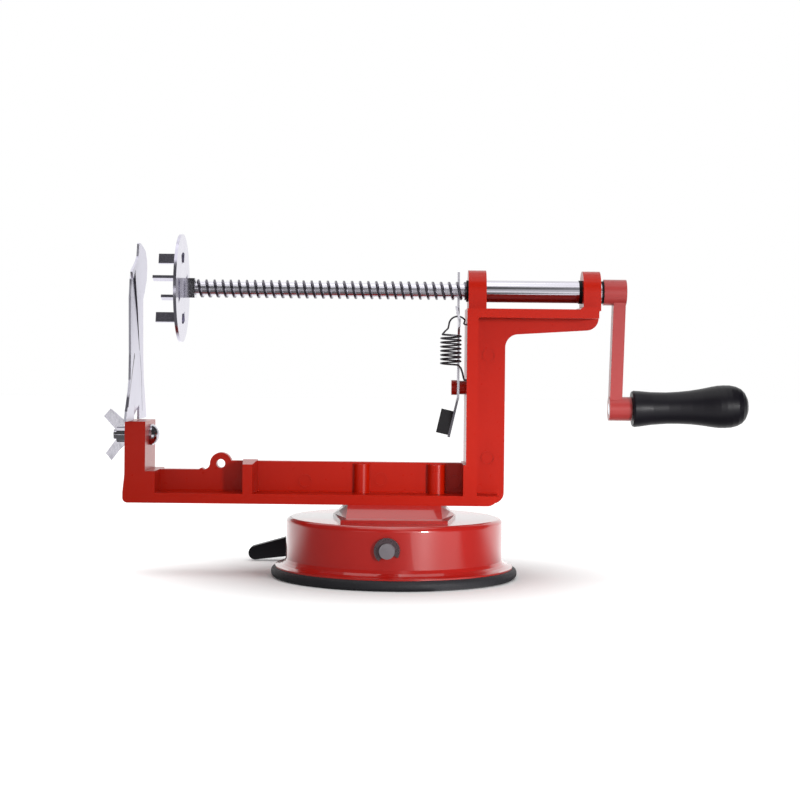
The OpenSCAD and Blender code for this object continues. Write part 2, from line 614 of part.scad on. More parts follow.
module crank_arm() color(pink_red) difference() {
    union() {
        rod_x(hub_left_x, hub_right_x, hub_r, 0, axis_z);
        rod_x(crank_boss_left_x, crank_boss_right_x, crank_boss_r, 0, crank_z);
        intersection() {
            slab_y(-hub_r, hub_r) polygon([[hub_right_x - crank_t, axis_z + hub_r],
                [hub_right_x, axis_z + hub_r], [hub_right_x - crank_lean, crank_z - hub_r],
                [hub_right_x - crank_t - crank_lean, crank_z - hub_r]]);
            slab_x(crank_boss_left_x - over, hub_right_x + over) {
                disc_2d(0, axis_z, hub_r);
                disc_2d(0, crank_z, crank_boss_r);
                area(-crank_w / 2, crank_w / 2, crank_z, axis_z);
            }
        }
    }
    rod_x(hub_left_x - over, hub_right_x + over, shaft_r - press, 0, axis_z);
    along_grip() rod_x(crank_boss_left_x - grip_left_x - over, over, spindle_r - press, 0, 0);
}

// frame whose +X is the grip's axis and whose origin is the middle of the grip's left face
module along_grip() translate([grip_left_x, 0, crank_z]) rotate([0, -grip_tilt, 0]) children();

module grip_spindle() color(steel) along_grip() {
    rod_x(crank_boss_left_x - grip_left_x, spindle_reach, spindle_r, 0, 0);
    rod_x(spindle_reach - spindle_head_l, spindle_reach, spindle_head_r, 0, 0);
}

module handle_grip() color(black) along_grip() difference() {
    turned_x(concat([[0, 0]], [for (p = grip_shares) [grip_l * p[0], grip_r * p[1]]], [[grip_l, 0]]), 0, 0);
    rod_x(-over, spindle_reach, spindle_r + spindle_clearance, 0, 0);
    rod_x(spindle_reach - spindle_head_l - spindle_end_clearance, spindle_reach + spindle_end_clearance,
        spindle_head_r + spindle_clearance, 0, 0);
}

// a list of shares as points in Y and Z on the plate
function on_blade(shares) = [for (p = shares) [blade_half_w * p[0], blade_foot_z + blade_h * p[1]]];
blade_outline = on_blade(blade_shares);
slit_path = on_blade(slit_shares);
undercut = on_blade(undercut_shares);
score_path = on_blade(score_shares);
// front leaf between the slit, the undercut and the plate's front edge; its neck joins slit and undercut
leaf_outline = concat([slit_path[2]], undercut, [for (i = [leaf_first : leaf_last]) blade_outline[i]],
    [slit_path[0], slit_path[1]]);
neck = slit_path[2] - undercut[0];
neck_angle = atan2(neck[1], neck[0]);

module slit_line(a, b, w) translate(a) rotate(atan2(b[1] - a[1], b[0] - a[0])) translate([-w / 2, -w / 2])
    square([norm(b - a) + w, w]);

// cuts round the leaf, with the short cut from the slit's top to the front edge
module leaf_cuts() {
    slit_line(blade_outline[leaf_last], slit_path[0], slit_w);
    slit_line(slit_path[0], slit_path[1], slit_w);
    slit_line(slit_path[1], slit_path[2], slit_w);
    slit_line(undercut[0], undercut[1], slit_w);
}

module leaf_2d() difference() {
    polygon(leaf_outline);
    leaf_cuts();
}

module blade_2d() difference() {
    polygon(blade_outline);
    polygon(leaf_outline);
    leaf_cuts();
    half_gap = tongue_w / 2 + tongue_slit_w;
    translate([-half_gap, blade_foot_z - over]) square([2 * half_gap, tongue_root_z - blade_foot_z + over]);
}

// turns its children about the neck, so that the leaf's top leans to the left
module about_neck() translate([blade_left_x, undercut[0][0], undercut[0][1]]) rotate([neck_angle, 0, 0])
    rotate([0, -leaf_bend, 0]) rotate([-neck_angle, 0, 0])
        translate([-blade_left_x, -undercut[0][0], -undercut[0][1]]) children();

module blade_plate() color(steel) {
    difference() {
        slab_x(blade_left_x, blade_right_x) blade_2d();
        slab_x(blade_right_x - score_depth, blade_right_x + over) for (i = [1 : len(score_path) - 1])
            slit_line(score_path[i - 1], score_path[i], score_w);
    }
    // leaf, with a short lap into the plate along its neck
    about_neck() slab_x(blade_left_x, blade_right_x) {
        leaf_2d();
        translate(undercut[0]) rotate(neck_angle) translate([0, -leaf_lap])
            square([norm(neck), leaf_lap + slit_w]);
    }
    difference() {
        slab_y(-tongue_w / 2, tongue_w / 2) polygon([[blade_left_x, tongue_root_z + lap],
            [blade_right_x, tongue_root_z + lap], [blade_right_x, tongue_root_z],
            [post_left_x, tongue_bend_z],
            [post_left_x, tongue_bottom_z], [post_left_x - blade_t, tongue_bottom_z],
            [post_left_x - blade_t, tongue_bend_z], [blade_left_x, tongue_root_z]]);
        rod_x(post_left_x - blade_t - over, post_left_x + over, bolt_r + bolt_play, 0, bolt_z);
    }
}

module blade_bolt() color(steel) {
    head_x = post_right_x + blade_washer_t;
    rod_x(bolt_end_x, head_x + lap, bolt_r, 0, bolt_z);
    // domed head: a cap of the sphere that passes through its rim
    dome_r = (bolt_head_r * bolt_head_r + bolt_head_h * bolt_head_h) / (2 * bolt_head_h);
    steps = 8;
    turned_x(concat([[0, 0]], [for (i = [0 : steps - 1]) let (r = bolt_head_r * (1 - i / steps))
        [sqrt(dome_r * dome_r - r * r) - dome_r + bolt_head_h, r]], [[bolt_head_h, 0]]), head_x, bolt_z);
}

module blade_washer() color(steel) difference() {
    rod_x(post_right_x, post_right_x + blade_washer_t, bolt_head_r, 0, bolt_z);
    rod_x(post_right_x - over, post_right_x + blade_washer_t + over, bolt_r + bolt_play, 0, bolt_z);
}

module wing_nut() color(steel) difference() {
    seat_x = post_left_x - blade_t;
    union() {
        rod_x(seat_x - wing_hub_l, seat_x, wing_hub_r, 0, bolt_z);
        slab_y(-wing_t / 2, wing_t / 2) {
            polygon(upper_wing);
            polygon(lower_wing);
        }
    }
    rod_x(seat_x - wing_hub_l - over, seat_x + over, bolt_r + thread_play, 0, bolt_z);
}

module lever_stud() color(red) {
    rod_x(collar_left_x, upright_left_x, collar_r, 0, stud_z);
    rod_x(neck_left_x - lap, collar_left_x + lap, neck_r, 0, stud_z);
    rod_x(neck_left_x - stud_head_h, neck_left_x, stud_head_r, 0, stud_z);
    rod_x(upright_left_x - lap, upright_left_x + stud_shank_l, stud_shank_r, 0, stud_z);
}

// frame of the lever's leaning lower part: its origin is on the bend, -Z runs down the plate
module below_bend() translate([lever_left_x + lever_t / 2, 0, lever_bend_z]) rotate([0, lever_lean, 0])
    children();

module release_lever() color(steel) {
    difference() {
        slab_x(lever_left_x, lever_left_x + lever_t) polygon(lever_outline);
        rod_x(lever_left_x - over, lever_left_x + lever_t + over, neck_r + lever_play, 0, stud_z);
    }
    // leaning part, mitred at the bend
    half_t = lever_t / 2;
    mitre = half_t * tan(lever_lean / 2);
    down = lower_l * [-sin(lever_lean), -cos(lever_lean)];
    across = half_t * [cos(lever_lean), -sin(lever_lean)];
    rise = lever_outline[0][1] - lever_bend_z + lap;
    slab_y(lower_front_y, lower_back_y) translate([lever_left_x + half_t, lever_bend_z])
        polygon([[-half_t, rise], [half_t, rise], [half_t, -mitre], down + across, down - across,
            [-half_t, mitre]]);
    below_bend() slab_y(lower_front_y, lower_front_y + lever_t) area(-tab_reach, 0, -tab_foot, -tab_top);
    // horns, leaning to the left above the plate's front bar
    horn_foot_z = bar_top_z - lap;
    for (h = horns) slab_y(h[0], h[0] + h[1]) {
        lean_x = (h[2] - horn_foot_z) * tan(horn_lean);
        translate([lever_left_x, 0]) polygon([[0, horn_foot_z], [lever_t, horn_foot_z],
            [lever_t - lean_x, h[2]], [-lean_x, h[2]]]);
    }
}

module lever_tab_cover() color(black) below_bend() difference() {
    slab_y(lower_front_y - cover_wall, lower_front_y + lever_t + cover_wall)
        area(-tab_reach - cover_wall, -lever_t / 2 - cover_clearance, -cover_foot, -cover_top);
    slab_y(lower_front_y - cover_clearance, lower_front_y + lever_t + cover_clearance)
        area(-tab_reach - cover_clearance, 0, -tab_foot - cover_clearance, -tab_top + cover_clearance);
}

// release spring: one wire from the upright over the top loop, down the coil and along the tail
coil_steps = 24;
loop_steps = 12;
wire_sides = 6;
wire_d = 2 * wire_r;
function loop_point(a) = [loop_x + loop_r * cos(a), coil_y, loop_z + loop_r * sin(a)];
function coil_point(t) = [coil_x - coil_r * cos(360 * t), coil_y - coil_r * sin(360 * t),
    coil_top_z - (coil_top_z - coil_bottom_z) * t / coil_turns];
wire_path = concat([[upright_left_x, coil_y, loop_end_z], [upright_left_x - wire_d, coil_y, loop_end_z],
    [upright_left_x - wire_d - wire_r, coil_y, loop_end_z + wire_r]],
    [for (i = [0 : loop_steps]) loop_point(loop_start + loop_sweep * i / loop_steps)], neck_points,
    [for (i = [2 : coil_steps * (coil_turns - 1) + 9]) coil_point(i / coil_steps)], tail_points,
    [[upright_left_x - wire_d, tail_y, tail_z], [upright_left_x, tail_y, tail_z]]);
function unit(v) = v / norm(v);
last_p = len(wire_path) - 1;
function tangent(i) = i == 0 ? unit(wire_path[1] - wire_path[0]) :
    i == last_p ? unit(wire_path[last_p] - wire_path[last_p - 1]) :
    unit(unit(wire_path[i + 1] - wire_path[i]) + unit(wire_path[i] - wire_path[i - 1]));
// side vectors carried along the wire without twist
function carried(v, t) = unit(v - (v * t) * t);
function sides_from(i, v) = i > last_p ? [] :
    let (s = carried(v, tangent(i))) concat([s], sides_from(i + 1, s));
wire_sides_v = sides_from(0, [0, 1, 0]);
wire_points = [for (i = [0 : last_p]) let (t = tangent(i), s = wire_sides_v[i], u = cross(t, s))
    for (j = [0 : wire_sides - 1]) let (a = 360 * j / wire_sides)
        wire_path[i] + wire_r * (cos(a) * s + sin(a) * u)];
wire_faces = concat([[for (j = [0 : wire_sides - 1]) j]],
    [for (i = [0 : last_p - 1]) for (j = [0 : wire_sides - 1])
        let (a = i * wire_sides + j, b = i * wire_sides + (j + 1) % wire_sides)
            each [[a, a + wire_sides, b], [b, a + wire_sides, b + wire_sides]]],
    [[for (j = [wire_sides - 1 : -1 : 0]) last_p * wire_sides + j]]);
// least gap of the wire to itself, over pairs of points at least half a turn apart along it
wire_gap = min([for (i = [0 : last_p]) for (j = [i + 12 : 1 : last_p])
    norm(wire_path[i] - wire_path[j])]) - wire_d;
echo(wire_gap = wire_gap);

module release_spring() color(steel) polyhedron(points = wire_points, faces = wire_faces);

// hexagon with its tips on X and its four corners at [x, y] and their mirror images
module hexagon(tip_x, x, y) polygon([[tip_x, 0], [x, y], [-x, y], [-tip_x, 0], [-x, -y], [x, -y]]);

// hollow flare of the skirt, from its lip to the wall, as shares of its reach and height
flare_shares = [[1, 0], [0.65, 0.08], [0.35, 0.26], [0.13, 0.55], [0, 1]];

module base_housing() color(red) difference() {
    union() {
        rotate_extrude() difference() {
            union() {
                polygon(concat([[0, foot_h], [skirt_r, foot_h]],
                    [for (p = flare_shares) [housing_r + skirt_reach * p[0],
                        foot_h + skirt_lip + skirt_flare * p[1]]],
                    [[housing_r, housing_top_z - housing_edge_r],
                    [housing_r - housing_edge_r, housing_top_z - housing_edge_r],
                    [housing_r - housing_edge_r, housing_top_z], [0, housing_top_z]]));
                disc_2d(housing_r - housing_edge_r, housing_top_z - housing_edge_r, housing_edge_r);
            }
            area(0, housing_r - housing_wall, foot_h - over, housing_top_z - housing_wall);
        }
        slab_z(housing_top_z - lap, plinth_top_z) hexagon(plinth_tip_x, plinth_side_x, plinth_y);
        hull() {
            slab_z(plinth_top_z - lap, plinth_top_z)
                hexagon(pad_foot_tip_x, pad_foot_corner_x, pad_foot_corner_y);
            slab_z(beam_bottom_z - lap, beam_bottom_z)
                hexagon(pad_top_tip_x, pad_top_corner_x, pad_top_corner_y);
        }
    }
    // axle bores, stem pocket and screw holes
    rod_y(-housing_r - over, housing_r + over, axle_r + axle_play, axle_x, axle_z);
    translate([stem_left_x - pocket_gap, -stem_y - pocket_gap, housing_top_z - housing_wall - over])
        cube([stem_right_x - stem_left_x + 2 * pocket_gap, 2 * (stem_y + pocket_gap),
            pocket_top_z - housing_top_z + housing_wall + over]);
    for (x = [boss_left_x, boss_right_x])
        rod_z(housing_top_z - housing_wall - over, beam_bottom_z + over, screw_r + screw_play, x, 0);
}

module base_screws() color(steel) for (x = [boss_left_x, boss_right_x]) difference() {
    union() {
        rod_z(screw_seat_z - lap, screw_top_z, screw_r, x, 0);
        rod_z(screw_seat_z - screw_head_h, screw_seat_z, screw_head_r, x, 0);
    }
    translate([x, 0, screw_seat_z - screw_head_h - over])
        cylinder(r = socket_r, h = socket_depth + over, $fn = 6);
}

module foot_ring() color(black) rotate_extrude() {
    edge_x = foot_r - foot_edge_r;
    area(foot_inner_r, edge_x, 0, foot_h);
    area(edge_x - lap, foot_r, foot_edge_r, foot_h - foot_edge_r);
    disc_2d(edge_x, foot_edge_r, foot_edge_r);
    disc_2d(edge_x, foot_h - foot_edge_r, foot_edge_r);
}

module suction_diaphragm() color(black) rotate_extrude()
    polygon([[0, cup_mid_z], [stem_plate_r, cup_mid_z], [foot_inner_r - cup_rim_w, cup_rim_z],
        [foot_inner_r, cup_rim_z], [foot_inner_r, cup_rim_z + cup_t],
        [foot_inner_r - cup_rim_w, cup_rim_z + cup_t],
        [stem_plate_r, cup_mid_z + cup_t],
        [0, cup_mid_z + cup_t]]);

module suction_stem() color(steel) {
    cam_z = axle_z + cam_offset;
    window_h = cam_r + cam_gap_z;
    difference() {
        slab_y(-stem_y, stem_y)
            area(stem_left_x, stem_right_x, stem_plate_low_z + stem_plate_t - lap, stem_top_z);
        slab_y(-stem_y - over, stem_y + over)
            area(axle_x - cam_r - cam_gap_x, axle_x + cam_r + cam_offset + cam_gap_x,
                cam_z - window_h, cam_z + window_h);
    }
    rod_z(stem_plate_low_z, stem_plate_low_z + stem_plate_t, stem_plate_r, 0, 0);
}

module suction_axle() color(steel) difference() {
    union() {
        rod_y(axle_front_y, axle_rear_y, axle_r, axle_x, axle_z);
        rod_y(-cam_w / 2, cam_w / 2, cam_r, axle_x, axle_z + cam_offset);
    }
    // clip groove
    difference() {
        rod_y(clip_back_y - clip_t, clip_back_y, axle_r + over, axle_x, axle_z);
        rod_y(clip_back_y - clip_t - over, clip_back_y + over, axle_r - groove_depth, axle_x, axle_z);
    }
    // flats under the lever
    for (s = [0, 1]) translate([axle_x, 0, axle_z]) rotate([0, 180 * s + suction_slope, 0])
        translate([-axle_r - over, arm_front_y, axle_flat])
            cube([2 * (axle_r + over), axle_rear_y - arm_front_y + over, axle_r + over]);
}

module axle_clip() color(steel) difference() {
    rod_y(clip_back_y - clip_t, clip_back_y, clip_r, axle_x, axle_z);
    rod_y(clip_back_y - clip_t - over, clip_back_y + over, axle_r - groove_depth, axle_x, axle_z);
    mouth_x = clip_r + over;
    mouth_z = mouth_x * tan(clip_mouth / 2);
    translate([axle_x, 0, axle_z]) slab_y(clip_back_y - clip_t - over, clip_back_y + over)
        rotate(clip_turn) polygon([[0, 0], [mouth_x, -mouth_z], [mouth_x, mouth_z]]);
}

// frame of the suction lever: origin on the axle, +X runs out along the lever, +Z is its upper side
module along_suction() translate([axle_x, 0, axle_z]) rotate([0, 0, 180]) rotate([0, suction_slope, 0])
    mirror([0, 1, 0]) children();

module suction_lever_arm() color(steel) difference() {
    along_suction() union() {
        rod_y(arm_front_y, arm_back_y, lever_hub_r, 0, 0);
        slab_y(arm_front_y, arm_back_y) polygon([[0, -arm_root_h / 2], [grip_start, -arm_tip_h / 2],
            [suction_l, -arm_tip_h / 2], [suction_l, arm_tip_h / 2], [grip_start, arm_tip_h / 2],
            [0, arm_root_h / 2]]);
    }
    difference() {
        rod_y(arm_front_y - over, arm_back_y + over, axle_r - press, axle_x, axle_z);
        for (s = [0, 1]) translate([axle_x, 0, axle_z]) rotate([0, 180 * s + suction_slope, 0])
            translate([-axle_r - over, arm_front_y - 2 * over, axle_flat - press])
                cube([2 * (axle_r + over), arm_back_y - arm_front_y + 4 * over, axle_r + over]);
    }
}

module suction_lever_grip() color(black) along_suction() difference() {
    slab_y(sleeve_front_y, sleeve_back_y) {
        polygon([[grip_start, -grip_root_h / 2], [suction_l + sleeve_over - grip_tip_h / 2, -grip_tip_h / 2],
            [suction_l + sleeve_over - grip_tip_h / 2, grip_tip_h / 2], [grip_start, grip_root_h / 2]]);
        disc_2d(suction_l + sleeve_over - grip_tip_h / 2, 0, grip_tip_h / 2);
    }
    slab_y(arm_front_y - sleeve_clearance, arm_back_y + sleeve_clearance)
        area(grip_start - over, suction_l + sleeve_clearance, -arm_tip_h / 2 - sleeve_clearance,
            arm_tip_h / 2 + sleeve_clearance);
}

frame_casting();
guide_tube();
front_bush();
rear_bush();
feed_screw();
fork_disc();
disc_nut();
thrust_washer();
crank_arm();
grip_spindle();
handle_grip();
blade_plate();
blade_bolt();
blade_washer();
wing_nut();
lever_stud();
release_lever();
lever_tab_cover();
release_spring();
base_housing();
base_screws();
foot_ring();
suction_diaphragm();
suction_stem();
suction_axle();
axle_clip();
suction_lever_arm();
suction_lever_grip();
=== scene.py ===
import math

import bmesh
import bpy
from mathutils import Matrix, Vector

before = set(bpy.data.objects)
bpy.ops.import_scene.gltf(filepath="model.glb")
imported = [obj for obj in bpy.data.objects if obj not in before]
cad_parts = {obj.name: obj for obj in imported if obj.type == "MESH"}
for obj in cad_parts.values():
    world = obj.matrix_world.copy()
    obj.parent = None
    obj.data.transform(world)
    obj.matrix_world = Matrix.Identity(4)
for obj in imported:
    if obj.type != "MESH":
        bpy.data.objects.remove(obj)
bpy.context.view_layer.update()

MM = 0.001  # one millimetre in the scene's metres


# Colour and nodes


def linear(hex_colour):
    """An sRGB hex colour such as "B3261E" as the linear RGBA that Blender's sockets take."""
    channels = [int(hex_colour[i : i + 2], 16) / 255 for i in (0, 2, 4)]
    return [c / 12.92 if c <= 0.04045 else ((c + 0.055) / 1.055) ** 2.4 for c in channels] + [1.0]


def add_node(tree, kind, settings=None, inputs=None, links=None):
    """Adds a node, sets its properties and sockets, and links {input socket: (node, output socket)}."""
    node = tree.nodes.new(kind)
    for name, value in (settings or {}).items():
        setattr(node, name, value)
    for name, value in (inputs or {}).items():
        node.inputs[name].default_value = value
    for name, (source, output) in (links or {}).items():
        tree.links.new(source.outputs[output], node.inputs[name])
    return node


def per_mm(size_mm):
    """Texture scale at which one feature of the pattern is size_mm across."""
    return 1 / (size_mm * MM)


def new_material(name):
    """A material with its node tree and its shader."""
    material = bpy.data.materials.new(name)
    material.use_nodes = True
    return material, material.node_tree, material.node_tree.nodes["Principled BSDF"]


def surface(
    name, colours, metallic, roughness, grain_mm, bump_mm, cloud_mm=18, stretch=(1, 1, 1), **sockets
):
    """One finish: two colours mixed in soft clouds, a roughness range, and a fine grain for the bump.

    grain_mm is the spacing of the surface's own grain, bump_mm its depth, cloud_mm the size of the
    patches over which the colour drifts. A stretch below 1 lengthens the grain along that axis.
    """
    material, tree, shader = new_material(name)
    place = add_node(tree, "ShaderNodeTexCoord")
    clouds = add_node(
        tree,
        "ShaderNodeTexNoise",
        inputs={"Scale": per_mm(cloud_mm), "Detail": 3.0, "Roughness": 0.55},
        links={"Vector": (place, "Object")},
    )
    lengthen = add_node(
        tree, "ShaderNodeMapping", inputs={"Scale": stretch}, links={"Vector": (place, "Object")}
    )
    grain = add_node(
        tree,
        "ShaderNodeTexNoise",
        inputs={"Scale": per_mm(grain_mm), "Detail": 2.0, "Roughness": 0.5},
        links={"Vector": (lengthen, "Vector")},
    )
    colour = add_node(
        tree,
        "ShaderNodeMix",
        settings={"data_type": "RGBA"},
        inputs={"A": linear(colours[0]), "B": linear(colours[1])},
        links={"Factor": (clouds, "Fac")},
    )
    gloss = add_node(
        tree,
        "ShaderNodeMapRange",
        inputs={"From Min": 0.25, "From Max": 0.75, "To Min": roughness[0], "To Max": roughness[1]},
        links={"Value": (grain, "Fac")},
    )
    bump = add_node(
        tree,
        "ShaderNodeBump",
        inputs={"Strength": 1.0, "Distance": bump_mm * MM},
        links={"Height": (grain, "Fac")},
    )
    tree.links.new(colour.outputs["Result"], shader.inputs["Base Color"])
    tree.links.new(gloss.outputs["Result"], shader.inputs["Roughness"])
    tree.links.new(bump.outputs["Normal"], shader.inputs["Normal"])
    shader.inputs["Metallic"].default_value = metallic
    for socket, value in sockets.items():
        shader.inputs[socket.replace("_", " ")].default_value = value
    return material


# Finishes

# Stoving enamel over a zinc die casting: deep red, a little dull, with a slight orange peel.
casting_enamel = surface(
    "red_stoving_enamel", ("B01802", "A41200"), 0.0, (0.27, 0.31), grain_mm=2.0, bump_mm=0.0015,
    IOR=1.5, Specular_IOR_Level=0.17, Coat_Weight=0.08, Coat_Roughness=0.12,
)
# The same enamel on the pressed housing, where the thin coat flows smoother and shines more.
housing_enamel = surface(
    "red_housing_enamel", ("AC1810", "A0120C"), 0.0, (0.28, 0.31), grain_mm=2.4, bump_mm=0.001,
    IOR=1.5, Specular_IOR_Level=0.3, Coat_Weight=0.9, Coat_Roughness=0.04,
)
# The crank is sprayed in a lighter red, and the pink in its colour is painted sheen.
crank_enamel_and_painted_sheen = surface(
    "crank_enamel_and_painted_sheen", ("A43635", "9C302F"), 0.0, (0.3, 0.36), grain_mm=1.8, bump_mm=0.004,
    IOR=1.5, Specular_IOR_Level=0.3, Coat_Weight=0.2, Coat_Roughness=0.12,
)
# Cold rolled stainless sheet: pale and mirror-like along its fine rolling lines, drawn 0.5 mm apart to show.
rolled_stainless = surface(
    "rolled_stainless", ("BDBAC8", "B5B2C1"), 1.0, (0.16, 0.26), grain_mm=0.5, bump_mm=0.0015,
    cloud_mm=30, stretch=(1, 1, 0.06),
)
# The blade's own sheet is brushed a little duller.
brushed_stainless = surface(
    "brushed_stainless", ("D0CEDA", "C9C7D4"), 1.0, (0.34, 0.44), grain_mm=0.5, bump_mm=0.0015,
    cloud_mm=30, stretch=(1, 1, 0.06),
)
# Bright nickel plating on the drawn tube, the bolt and the small turned parts: smooth and clear.
bright_nickel = surface(
    "bright_nickel_plating", ("BDBBC3", "B3B1B9"), 1.0, (0.1, 0.16), grain_mm=0.8, bump_mm=0.001,
    cloud_mm=12, stretch=(1, 0.3, 0.3),
)
# The screw's rolled thread under the same plating: a little rougher, so its roots read as light grey.
rolled_thread = surface(
    "nickel_plated_thread", ("CFCDD6", "C5C3CC"), 1.0, (0.24, 0.32), grain_mm=0.8, bump_mm=0.001,
    cloud_mm=12,
)
# Turned axle and lever arm with plain zinc plating: satin, slightly warm grey.
satin_zinc = surface(
    "satin_zinc_plating", ("ABA3AA", "9E979D"), 1.0, (0.3, 0.4), grain_mm=0.8, bump_mm=0.002,
    cloud_mm=7,
)
# The retaining clip is blued spring steel.
blued_clip = surface(
    "blued_spring_clip", ("7A6A6E", "6A5B60"), 1.0, (0.25, 0.35), grain_mm=0.6, bump_mm=0.001,
    cloud_mm=6,
)
# Bright hardened strip of the release lever.
bright_strip = surface(
    "bright_spring_strip", ("D2D0D8", "C6C4CC"), 1.0, (0.22, 0.32), grain_mm=0.6, bump_mm=0.001,
    cloud_mm=8,
)
# Spring wire: dark oil-blackened steel.
blackened_steel = surface(
    "oil_blackened_steel", ("5A585C", "434146"), 1.0, (0.3, 0.42), grain_mm=0.6, bump_mm=0.002,
    cloud_mm=5,
)
# Moulded ABS of the turned-look grip: near black with a satin skin.
moulded_abs = surface(
    "satin_black_abs", ("0D0B11", "121017"), 0.0, (0.36, 0.44), grain_mm=0.6, bump_mm=0.004,
    IOR=1.5, Specular_IOR_Level=0.2,
)
# Moulded nylon of the bushes, the washer and the lever's tab cover: soft matt black. Their black is partly
# painted
# shade: the shade where the shaft enters the lugs and the crank's hub, and the dark reflection on the
# lever's tab.
black_nylon_and_painted_shade = surface(
    "matt_black_nylon_and_painted_shade", ("121114", "19181B"), 0.0, (0.5, 0.62), grain_mm=0.5, bump_mm=0.006,
    IOR=1.5, Specular_IOR_Level=0.2,
)
# Moulded rubber of the foot: matt charcoal with a dusty bloom in patches.
moulded_rubber = surface(
    "moulded_rubber", ("16151A", "201F25"), 0.0, (0.55, 0.75), grain_mm=0.8, bump_mm=0.012,
    cloud_mm=9, IOR=1.5, Specular_IOR_Level=0.5,
)


# Finishes that change over a piece


def lay_over(material, hex_colour, amount):
    """Lays a colour over the material's own where amount, given as (node, output), is near 1."""
    tree = material.node_tree
    base_colour = tree.nodes["Principled BSDF"].inputs["Base Color"]
    own_colour = base_colour.links[0].from_node
    mixed = add_node(
        tree,
        "ShaderNodeMix",
        settings={"data_type": "RGBA"},
        inputs={"B": linear(hex_colour)},
        links={"Factor": amount, "A": (own_colour, "Result")},
    )
    tree.links.new(mixed.outputs["Result"], base_colour)


# The crests of the thread are painted darker, a painted shade and dark reflection, and its roots stay
# bright. Seen from the screw's axis the painted shade starts at one radius and is full at the other, and the
# bearing end has none.
screw_axis = Vector((0, 0, 116.4)) * MM
crest_shade_start = 2.9 * MM
crest_shade_full = 3.4 * MM
thread_end = 31 * MM
thread_tree = rolled_thread.node_tree
thread_place = add_node(thread_tree, "ShaderNodeTexCoord")
from_axis = add_node(
    thread_tree,
    "ShaderNodeVectorMath",
    settings={"operation": "SUBTRACT"},
    inputs={1: screw_axis},
    links={0: (thread_place, "Object")},
)
across_axis = add_node(
    thread_tree,
    "ShaderNodeVectorMath",
    settings={"operation": "MULTIPLY"},
    inputs={1: (0, 1, 1)},
    links={0: (from_axis, "Vector")},
)
radius = add_node(
    thread_tree, "ShaderNodeVectorMath", settings={"operation": "LENGTH"}, links={0: (across_axis, "Vector")}
)
on_crest = add_node(
    thread_tree,
    "ShaderNodeMapRange",
    inputs={"From Min": crest_shade_start, "From Max": crest_shade_full},
    links={"Value": (radius, "Value")},
)
along_screw = add_node(thread_tree, "ShaderNodeSeparateXYZ", links={"Vector": (thread_place, "Object")})
on_thread = add_node(
    thread_tree,
    "ShaderNodeMath",
    settings={"operation": "LESS_THAN"},
    inputs={1: thread_end},
    links={0: (along_screw, "X")},
)
painted_crest_shade = add_node(
    thread_tree,
    "ShaderNodeMath",
    settings={"operation": "MULTIPLY"},
    links={0: (on_crest, "Result"), 1: (on_thread, "Value")},
)
# Lays the painted shade and dark reflection over the thread's crests.
lay_over(rolled_thread, "57545C", (painted_crest_shade, "Value"))

# Below the stud the strip is darker and greyer: wholly so under the lower height, and no more above the
# upper one.
dark_below = 71 * MM
light_above = 74 * MM
strip_tree = bright_strip.node_tree
strip_place = add_node(strip_tree, "ShaderNodeTexCoord")
up_strip = add_node(strip_tree, "ShaderNodeSeparateXYZ", links={"Vector": (strip_place, "Object")})
darker_low_down = add_node(
    strip_tree,
    "ShaderNodeMapRange",
    inputs={"From Min": dark_below, "From Max": light_above, "To Min": 1.0, "To Max": 0.0},
    links={"Value": (up_strip, "Z")},
)
lay_over(bright_strip, "6E6B72", (darker_low_down, "Result"))

# Painted shade and dark reflection along the blade's cuts and its bend, as dark lines on the sheet. Each
# line runs from one point to the next, in mm across (Y) and up (Z), with half its width in mm and the
# strength of its tone.
painted_edge_lines = [
    ((-7.3, 88.7), (-24.4, 67.5), 0.95, 0.9),
    ((-7.8, 122.9), (-0.6, 107.9), 0.45, 0.8),
    ((-0.6, 107.9), (5.5, 91.0), 0.45, 0.8),
    ((7.4, 88.7), (11.4, 80.8), 0.3, 0.5),
    ((11.4, 80.8), (13.3, 72.7), 0.3, 0.5),
    ((13.3, 72.7), (14.9, 66.0), 0.3, 0.5),
]
edge_shade_fade_mm = 0.2
blade_tree = brushed_stainless.node_tree
blade_place = add_node(blade_tree, "ShaderNodeTexCoord")


def painted_edge_shade(start_mm, end_mm, half_width_mm, strength):
    """Painted shade of one dark line: strength up to half_width_mm from its line, then fading out."""
    start = Vector((0, *start_mm)) * MM
    line = Vector((0, *end_mm)) * MM - start
    from_start = add_node(
        blade_tree,
        "ShaderNodeVectorMath",
        settings={"operation": "SUBTRACT"},
        inputs={1: start},
        links={0: (blade_place, "Object")},
    )
    in_plane = add_node(
        blade_tree,
        "ShaderNodeVectorMath",
        settings={"operation": "MULTIPLY"},
        inputs={1: (0, 1, 1)},
        links={0: (from_start, "Vector")},
    )
    share = add_node(
        blade_tree,
        "ShaderNodeVectorMath",
        settings={"operation": "DOT_PRODUCT"},
        inputs={1: line / line.length_squared},
        links={0: (in_plane, "Vector")},
    )
    share_on_line = add_node(blade_tree, "ShaderNodeClamp", links={"Value": (share, "Value")})
    nearest = add_node(
        blade_tree,
        "ShaderNodeVectorMath",
        settings={"operation": "SCALE"},
        inputs={0: line},
        links={"Scale": (share_on_line, "Result")},
    )
    away = add_node(
        blade_tree,
        "ShaderNodeVectorMath",
        settings={"operation": "DISTANCE"},
        links={0: (in_plane, "Vector"), 1: (nearest, "Vector")},
    )
    return add_node(
        blade_tree,
        "ShaderNodeMapRange",
        inputs={
            "From Min": half_width_mm * MM,
            "From Max": (half_width_mm + edge_shade_fade_mm) * MM,
            "To Min": strength,
            "To Max": 0.0,
        },
        links={"Value": (away, "Value")},
    )


